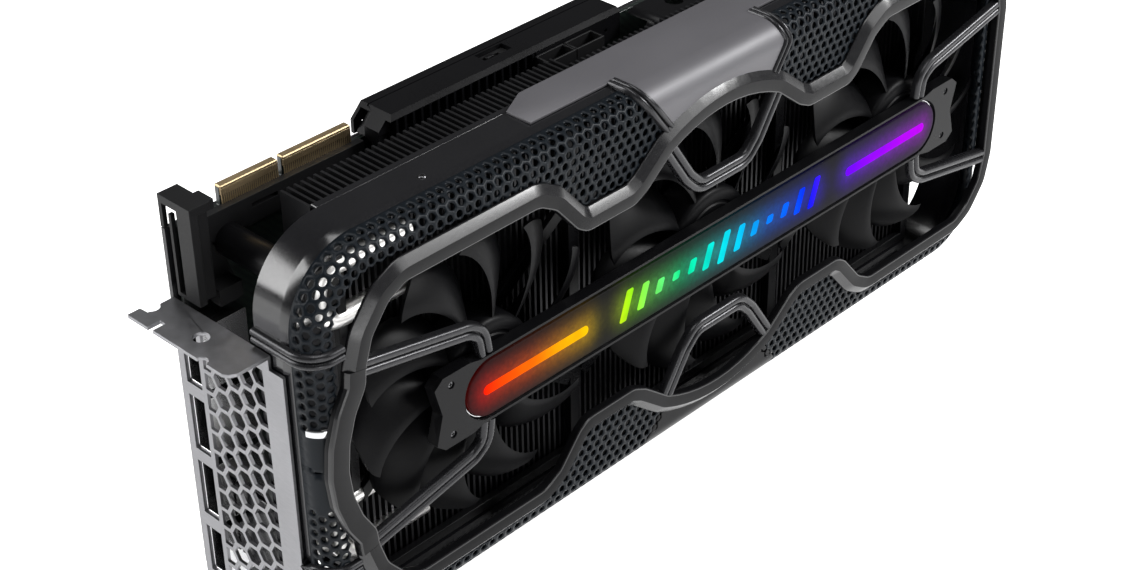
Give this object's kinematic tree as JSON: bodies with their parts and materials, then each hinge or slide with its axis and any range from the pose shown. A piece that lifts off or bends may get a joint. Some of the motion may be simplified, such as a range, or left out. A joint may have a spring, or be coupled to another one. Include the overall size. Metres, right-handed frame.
{
  "type": "graphics card",
  "caption": "Graphics card with a slotted bracket, open front frame, glowing centre bar, spinning fans, cooling fins and a slide switch on its top edge.",
  "frame": {"origin": "the fold corner of the bracket at the card's back edge, level with the top of the bent tab", "axes": "+X from the bracket to the far end, +Y to the backplate side, +Z from the slot edge to the top edge"},
  "size_m": [0.3077, 0.06, 0.1514],
  "materials": {
    "bracket_steel": "satin plated",
    "screw_steel": "machined",
    "black_plastic": "matte",
    "satin_plastic": "satin",
    "smoked_lens": "glossy, smoked",
    "lit_lines": "glowing",
    "lit_motif": "glowing",
    "dark_metal": "satin black coat",
    "grille_metal": "satin blue-black coat",
    "shield_metal": "satin grey coat",
    "chrome": "dark chrome",
    "gold_plating": "gold plated",
    "copper": "bare copper",
    "fin_aluminium": "brushed",
    "board_laminate": "solder resist",
    "pad_grey": "soft"
  },
  "bodies": {
    "card": {"io_bracket": "bracket_steel", "display_sockets": "dark_metal", "wide_video_socket": "dark_metal", "socket_tongues": "black_plastic", "circuit_board": "board_laminate", "bridge_contacts": "gold_plating", "slot_contacts": "gold_plating", "backplate": "dark_metal", "backplate_screws": "screw_steel", "retention_plate": "bracket_steel", "spring_screws": "screw_steel", "processor_package": "board_laminate", "memory_chips": "black_plastic", "power_chokes": "black_plastic", "capacitors": "fin_aluminium", "thermal_pads": "pad_grey", "cold_plate": "copper", "base_plate": "dark_metal", "heat_pipes": "copper", "fin_stack": "fin_aluminium", "middle_frame": "black_plastic", "edge_rail": "dark_metal", "support_post": "black_plastic", "rear_cover": "satin_plastic", "mode_switch_body": "black_plastic", "power_sockets": "black_plastic", "power_pins": "gold_plating", "shroud_shell": "satin_plastic", "case_screws": "screw_steel", "mesh_top_left": "grille_metal", "mesh_top_right": "grille_metal", "mesh_bottom_left": "grille_metal", "mesh_bottom_right": "grille_metal", "shield_plate": "shield_metal", "shield_beads": "chrome", "bottom_wrap": "satin_plastic", "front_frame": "satin_plastic", "c_ring": "satin_plastic", "left_struts": "chrome", "right_struts": "chrome", "top_loop": "chrome", "bottom_loop": "chrome", "end_beads": "chrome", "light_bar_housing": "satin_plastic", "light_bar_lens": "smoked_lens", "light_bar_trim": "chrome", "light_lines": "lit_lines", "light_motif": "lit_motif", "lamp_board": "board_laminate", "fan_carrier": "black_plastic", "fan_1_mount": "black_plastic", "fan_2_mount": "black_plastic", "fan_3_mount": "black_plastic", "fan_bearings": "bracket_steel", "fan_stators": "copper"},
    "fan_1": {"fan_1_rotor": "satin_plastic"},
    "fan_2": {"fan_2_rotor": "satin_plastic"},
    "fan_3": {"fan_3_rotor": "satin_plastic"},
    "mode_slider": {"mode_switch_slider": "black_plastic"}
  },
  "joints": [
    {"name": "fan_1_spin", "type": "hinge", "parent": "card", "child": "fan_1", "pos_m": [0.062, -0.047, -0.031], "axis": [0, -1, 0], "continuous": true},
    {"name": "fan_2_spin", "type": "hinge", "parent": "card", "child": "fan_2", "pos_m": [0.153, -0.047, -0.031], "axis": [0, -1, 0], "continuous": true},
    {"name": "fan_3_spin", "type": "hinge", "parent": "card", "child": "fan_3", "pos_m": [0.244, -0.047, -0.031], "axis": [0, -1, 0], "continuous": true},
    {"name": "mode_switch_slide", "type": "slide", "parent": "card", "child": "mode_slider", "axis": [1, 0, 0], "range_m": [0, 0.0024]}
  ]
}
